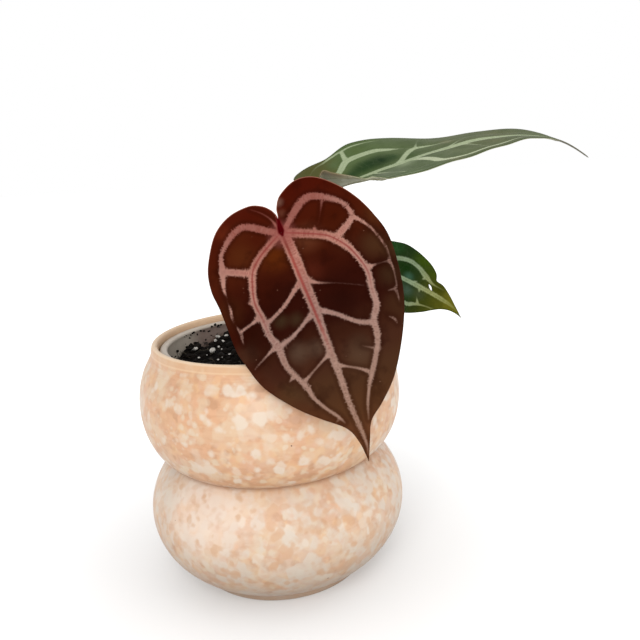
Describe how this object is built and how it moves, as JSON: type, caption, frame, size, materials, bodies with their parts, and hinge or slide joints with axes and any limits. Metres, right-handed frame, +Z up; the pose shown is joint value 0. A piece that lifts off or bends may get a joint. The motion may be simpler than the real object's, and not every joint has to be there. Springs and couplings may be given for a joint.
{
  "type": "potted anthurium hybrid",
  "caption": "House plant with heart-shaped veined leaves, velvety dark red and silver-veined green, in a nursery pot that stands inside a waisted glazed planter.",
  "frame": {"origin": "middle of the planter's flat base, on the surface that it stands on", "axes": "+Z up; +X towards the tip of the longest leaf; -Y towards the front leaf's face"},
  "size_m": [0.2257, 0.1351, 0.2067],
  "materials": {
    "glaze": "satin mottled glaze",
    "liner_plastic": "satin",
    "potting_mix": "coarse damp bark mix",
    "crown_bark": "papery brown scales",
    "stalk_red": "smooth waxy skin",
    "stalk_green": "smooth waxy skin",
    "leaf_red": "velvety",
    "leaf_green": "satin with silvery veins"
  },
  "bodies": {
    "root": {"planter": "glaze", "nursery_pot": "liner_plastic", "potting_mix": "potting_mix", "crown": "crown_bark", "petiole_front": "stalk_red", "leaf_front": "leaf_red", "petiole_long": "stalk_green", "leaf_long": "leaf_green", "petiole_small": "stalk_green", "leaf_small": "leaf_green"}
  },
  "joints": []
}
